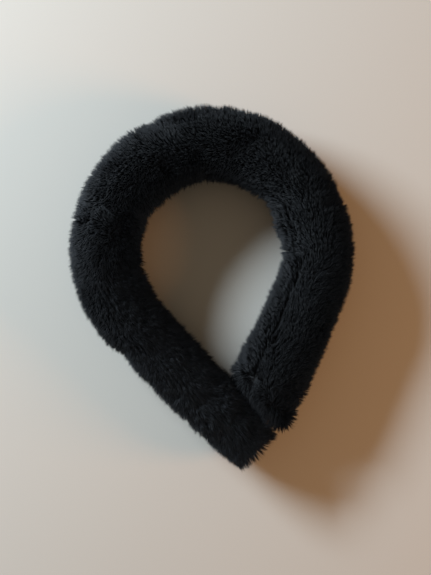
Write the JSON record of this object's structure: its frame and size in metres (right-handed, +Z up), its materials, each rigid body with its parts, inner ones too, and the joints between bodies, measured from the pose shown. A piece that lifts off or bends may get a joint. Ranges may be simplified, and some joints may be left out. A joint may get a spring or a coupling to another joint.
{
  "type": "furry windscreen",
  "caption": "Long black fur wind sleeve for a slim tubular microphone, lying bent in a loop, with a gripping cuff at its mouth and a closed tip.",
  "frame": {"origin": "centre of the bounding box of the whole sleeve, on the floor that it lies on", "axes": "+Z up from the floor, +Y from the two ends towards the crown of the loop, +X to the right seen from above with the crown away from the viewer"},
  "size_m": [0.225, 0.2842, 0.0497],
  "materials": {
    "fur": "matte",
    "foam": "matte",
    "lining": "satin",
    "thread": "satin",
    "rubber": "matte",
    "ring": "satin",
    "elastic": "matte"
  },
  "bodies": {
    "crown_length": {"fur_crown": "fur", "foam_crown": "foam", "lining_crown": "lining", "seam_thread_crown": "thread", "fur_upper_left_bend": "fur", "foam_upper_left_bend": "foam", "lining_upper_left_bend": "lining", "seam_thread_upper_left_bend": "thread", "fur_upper_right_bend": "fur", "foam_upper_right_bend": "foam", "lining_upper_right_bend": "lining", "seam_thread_upper_right_bend": "thread"},
    "left_length": {"fur_left": "fur", "foam_left": "foam", "lining_left": "lining", "seam_thread_left": "thread", "fur_lower_left_bend": "fur", "foam_lower_left_bend": "foam", "lining_lower_left_bend": "lining", "seam_thread_lower_left_bend": "thread"},
    "rise_length": {"fur_rise": "fur", "foam_rise": "foam", "lining_rise": "lining", "seam_thread_rise": "thread", "fur_lift_bend": "fur", "foam_lift_bend": "foam", "lining_lift_bend": "lining", "seam_thread_lift_bend": "thread"},
    "mouth_length": {"fur_mouth": "fur", "foam_mouth": "foam", "lining_mouth": "lining", "seam_thread_mouth": "thread", "mouth_cuff": "rubber", "mouth_ring": "ring", "hem_elastic": "elastic", "hem_thread": "thread"},
    "right_length": {"fur_right": "fur", "foam_right": "foam", "lining_right": "lining", "seam_thread_right": "thread", "fur_lower_right_bend": "fur", "foam_lower_right_bend": "foam", "lining_lower_right_bend": "lining", "seam_thread_lower_right_bend": "thread"},
    "tip_length": {"fur_tip": "fur", "foam_tip": "foam", "lining_tip": "lining", "seam_thread_tip": "thread", "fur_tip_cap": "fur", "foam_tip_plug": "foam", "tip_seam_thread": "thread"}
  },
  "joints": [
    {"name": "upper_left_bend", "type": "hinge", "parent": "crown_length", "child": "left_length", "pos_m": [-0.05441, 0.09199, 0.02497], "axis": [0, 0, -1], "range_deg": [0, 67], "deforming": ["fur_upper_left_bend", "foam_upper_left_bend", "lining_upper_left_bend", "seam_thread_upper_left_bend"]},
    {"name": "lower_left_bend", "type": "hinge", "parent": "left_length", "child": "rise_length", "pos_m": [-0.07997, 0.00286, 0.02375], "axis": [0, 0, -1], "range_deg": [0, 67], "deforming": ["fur_lower_left_bend", "foam_lower_left_bend", "lining_lower_left_bend", "seam_thread_lower_left_bend"]},
    {"name": "upper_right_bend", "type": "hinge", "parent": "crown_length", "child": "right_length", "pos_m": [0.05011, 0.09564, 0.02463], "axis": [0, 0, 1], "range_deg": [0, 57], "deforming": ["fur_upper_right_bend", "foam_upper_right_bend", "lining_upper_right_bend", "seam_thread_upper_right_bend"]},
    {"name": "lower_right_bend", "type": "hinge", "parent": "right_length", "child": "tip_length", "pos_m": [0.08404, 0.02409, 0.02394], "axis": [0, 0, 1], "range_deg": [0, 57], "deforming": ["fur_lower_right_bend", "foam_lower_right_bend", "lining_lower_right_bend", "seam_thread_lower_right_bend"]},
    {"name": "mouth_lift", "type": "hinge", "parent": "rise_length", "child": "mouth_length", "pos_m": [-0.025, -0.06742, 0.02238], "axis": [0.7254, 0.6884, 0], "range_deg": [-30, 0], "deforming": ["fur_lift_bend", "foam_lift_bend", "lining_lift_bend", "seam_thread_lift_bend"]}
  ]
}
